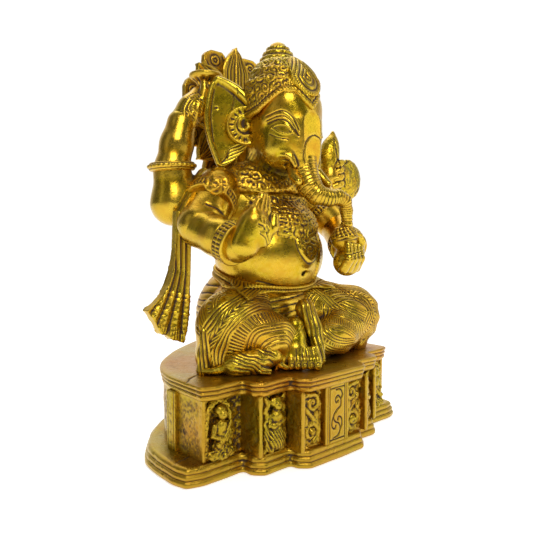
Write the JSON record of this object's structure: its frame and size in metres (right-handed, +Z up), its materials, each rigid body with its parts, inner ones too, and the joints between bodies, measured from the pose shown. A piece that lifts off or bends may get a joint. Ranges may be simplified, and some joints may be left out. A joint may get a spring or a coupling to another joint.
{
  "type": "ganesha idol",
  "caption": "Seated four-armed Ganesha figure in cast brass on a stepped hollow pedestal with carved niches, a lotus-petal halo behind the head and a fluted scarf tail.",
  "frame": {"origin": "on the resting plane, under the middle of the object's bounding box", "axes": "+Z up, the figure faces -Y, and the figure's left hand is on +X"},
  "size_m": [0.194, 0.141, 0.262],
  "materials": {
    "polished_brass": "polished by hand, with darker hollows",
    "engraved_brass": "polished over engraved lines with dark patina in the grooves",
    "chased_brass": "chased and stippled, patina left in the recesses",
    "pedestal_brass": "as cast in the niches, satin on the edges",
    "fixing_steel": "plain zinc-plated"
  },
  "bodies": {
    "root": {"axe": "chased_brass", "crown": "chased_brass", "crown_band": "chased_brass", "crown_finial": "chased_brass", "crown_medallion": "chased_brass", "dhoti_hips": "engraved_brass", "ear_flowers": "chased_brass", "figure_studs": "fixing_steel", "goad": "chased_brass", "halo_back_petals": "chased_brass", "halo_disc": "chased_brass", "halo_front_petals": "chased_brass", "halo_rivets": "chased_brass", "halo_stem": "chased_brass", "head": "polished_brass", "hem_fold": "engraved_brass", "lap_pleats": "engraved_brass", "left_armband": "chased_brass", "left_back_arm": "polished_brass", "left_back_bangle": "chased_brass", "left_back_hand": "polished_brass", "left_bracelet": "chased_brass", "left_ear": "polished_brass", "left_front_forearm": "polished_brass", "left_front_hand": "polished_brass", "left_front_upper_arm": "polished_brass", "left_leg": "engraved_brass", "modak": "chased_brass", "mouse": "engraved_brass", "necklace": "chased_brass", "niche_scrolls": "pedestal_brass", "pedestal_fins": "pedestal_brass", "pedestal_plinth": "pedestal_brass", "pedestal_slab": "pedestal_brass", "pedestal_wall": "pedestal_brass", "right_armband": "chased_brass", "right_back_arm": "polished_brass", "right_back_bangle": "chased_brass", "right_back_hand": "polished_brass", "right_bracelet": "chased_brass", "right_ear": "polished_brass", "right_foot": "polished_brass", "right_front_forearm": "polished_brass", "right_front_hand": "polished_brass", "right_front_upper_arm": "polished_brass", "right_leg": "engraved_brass", "right_scarf_tail": "engraved_brass", "scarf_strips": "engraved_brass", "scroll_panel": "pedestal_brass", "seated_musicians": "pedestal_brass", "shawl": "chased_brass", "side_panels": "pedestal_brass", "standing_musicians": "pedestal_brass", "stud_nuts": "fixing_steel", "stud_washers": "fixing_steel", "torso": "polished_brass", "trunk": "polished_brass", "tusks": "polished_brass", "waist_belt": "chased_brass"}
  },
  "joints": []
}
